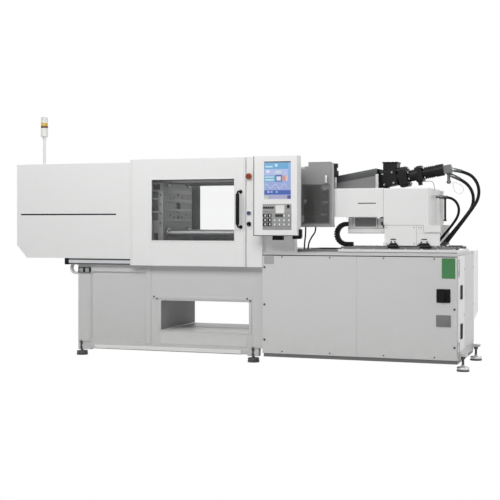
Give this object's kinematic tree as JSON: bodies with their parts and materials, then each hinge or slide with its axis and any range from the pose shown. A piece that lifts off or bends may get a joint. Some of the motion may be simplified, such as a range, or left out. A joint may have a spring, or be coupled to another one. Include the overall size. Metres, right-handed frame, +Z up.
{
  "type": "injection moulding machine",
  "caption": "Horizontal injection moulding machine with an inclined plasticizing unit, sliding safety doors and an operator panel.",
  "frame": {"origin": "centre of the footprint box at floor level", "axes": "+X along the machine from the clamp end to the injection end, +Y to the back, +Z up"},
  "size_m": [4.0811, 1.274, 2.16],
  "materials": {
    "cover_white": "satin",
    "frame_grey": "satin",
    "dark_grey": "satin",
    "black_paint": "satin",
    "bright_steel": "satin",
    "ground_steel": "polished",
    "casting": "matte",
    "black_plastic": "matte",
    "grey_plastic": "matte",
    "white_plastic": "satin",
    "red_plastic": "gloss",
    "blue_plastic": "gloss",
    "amber_plastic": "gloss",
    "smoked_clear": "polished",
    "screen_glass": "polished",
    "hose_rubber": "matte"
  },
  "bodies": {
    "frame": {"clamp_base": "frame_grey", "levelling_feet": "dark_grey", "rear_platen": "casting", "clamp_cylinder": "casting", "fixed_platen": "casting", "tie_bars": "ground_steel", "tie_bar_nuts": "bright_steel", "linear_rails": "ground_steel", "door_rails": "bright_steel", "clamp_cover": "cover_white", "connector_sockets": "black_plastic", "signal_lamp": "white_plastic", "signal_lens": "amber_plastic", "side_pillars": "cover_white", "hmi_housing": "white_plastic", "hmi_screen": "screen_glass", "hmi_keypad": "grey_plastic", "hmi_bracket": "frame_grey", "injection_base": "frame_grey", "base_panels": "cover_white", "electrical_cabinet": "cover_white", "base_skirt": "dark_grey", "control_gear": "grey_plastic", "bed_plate": "bright_steel", "purge_tray": "dark_grey", "hose_upper": "hose_rubber", "hose_middle": "hose_rubber", "hose_lower": "hose_rubber", "cable_chain": "black_plastic", "guard_frame": "dark_grey", "guard_cables": "hose_rubber", "breaker_plate": "black_plastic"},
    "front_door": {"front_door_panel": "cover_white", "front_door_window": "smoked_clear", "door_handles_front": "black_plastic"},
    "rear_door": {"rear_door_panel": "cover_white", "rear_door_window": "smoked_clear", "door_handles_rear": "black_plastic"},
    "moving_platen_body": {"moving_platen": "casting", "clamp_ram": "ground_steel"},
    "ejector": {"ejector_plate": "bright_steel"},
    "guard_door_body": {"guard_door": "frame_grey", "guard_window": "smoked_clear"},
    "carriage": {"carriage_base": "cover_white", "guide_blocks": "bright_steel", "front_cover": "cover_white", "rear_cover": "cover_white", "injection_cylinder": "bright_steel", "plasticizing_barrel": "bright_steel", "barrel_cover": "dark_grey", "gearbox": "black_paint", "hydraulic_motor": "black_paint", "motor_fittings": "black_paint"},
    "screw": {"plasticizing_screw": "ground_steel"},
    "plunger": {"injection_plunger": "ground_steel"},
    "stop_button": {"e_stop_button": "red_plastic"},
    "start_button": {"push_button": "blue_plastic"},
    "key": {"key_switch": "bright_steel"},
    "end_door_body": {"end_door": "cover_white"},
    "breaker_knob": {"breaker_handle": "grey_plastic"}
  },
  "joints": [
    {"name": "front_door_slide", "type": "slide", "parent": "frame", "child": "front_door", "axis": [-1, 0, 0], "range_m": [0, 0.62]},
    {"name": "rear_door_slide", "type": "slide", "parent": "frame", "child": "rear_door", "axis": [-1, 0, 0], "range_m": [0, 0.62]},
    {"name": "clamp_stroke", "type": "slide", "parent": "frame", "child": "moving_platen_body", "axis": [1, 0, 0], "range_m": [0, 0.5]},
    {"name": "ejector_stroke", "type": "slide", "parent": "moving_platen_body", "child": "ejector", "axis": [1, 0, 0], "range_m": [0, 0.08]},
    {"name": "guard_door_hinge", "type": "hinge", "parent": "frame", "child": "guard_door_body", "pos_m": [0.616, -0.345, 1.375], "axis": [0, 0, -1], "range_deg": [0, 60]},
    {"name": "carriage_stroke", "type": "slide", "parent": "frame", "child": "carriage", "axis": [-1, 0, 0], "range_m": [-0.12, 0.17], "deforming": ["hose_upper", "hose_middle", "hose_lower", "cable_chain"]},
    {"name": "screw_turn", "type": "hinge", "parent": "carriage", "child": "screw", "pos_m": [1.232, -0.07, 1.51503], "axis": [0.9848, 0, 0.1736], "continuous": true},
    {"name": "injection_stroke", "type": "slide", "parent": "carriage", "child": "plunger", "axis": [-1, 0, 0], "range_m": [0, 0.11]},
    {"name": "e_stop_push", "type": "slide", "parent": "frame", "child": "stop_button", "axis": [0, 1, 0], "range_m": [0, 0.005]},
    {"name": "button_push", "type": "slide", "parent": "frame", "child": "start_button", "axis": [0, 1, 0], "range_m": [0, 0.004], "stiffness_N_per_m": 500},
    {"name": "key_turn", "type": "hinge", "parent": "frame", "child": "key", "pos_m": [0.212, -0.516, 1.158], "axis": [0, 1, 0], "range_deg": [0, 90]},
    {"name": "end_door_hinge", "type": "hinge", "parent": "frame", "child": "end_door_body", "pos_m": [1.943, -0.501, 0.5], "axis": [0, 0, -1], "range_deg": [0, 110]},
    {"name": "breaker_turn", "type": "hinge", "parent": "frame", "child": "breaker_knob", "pos_m": [1.83, -0.52, 0.594], "axis": [0, 1, 0], "range_deg": [0, 90]}
  ]
}
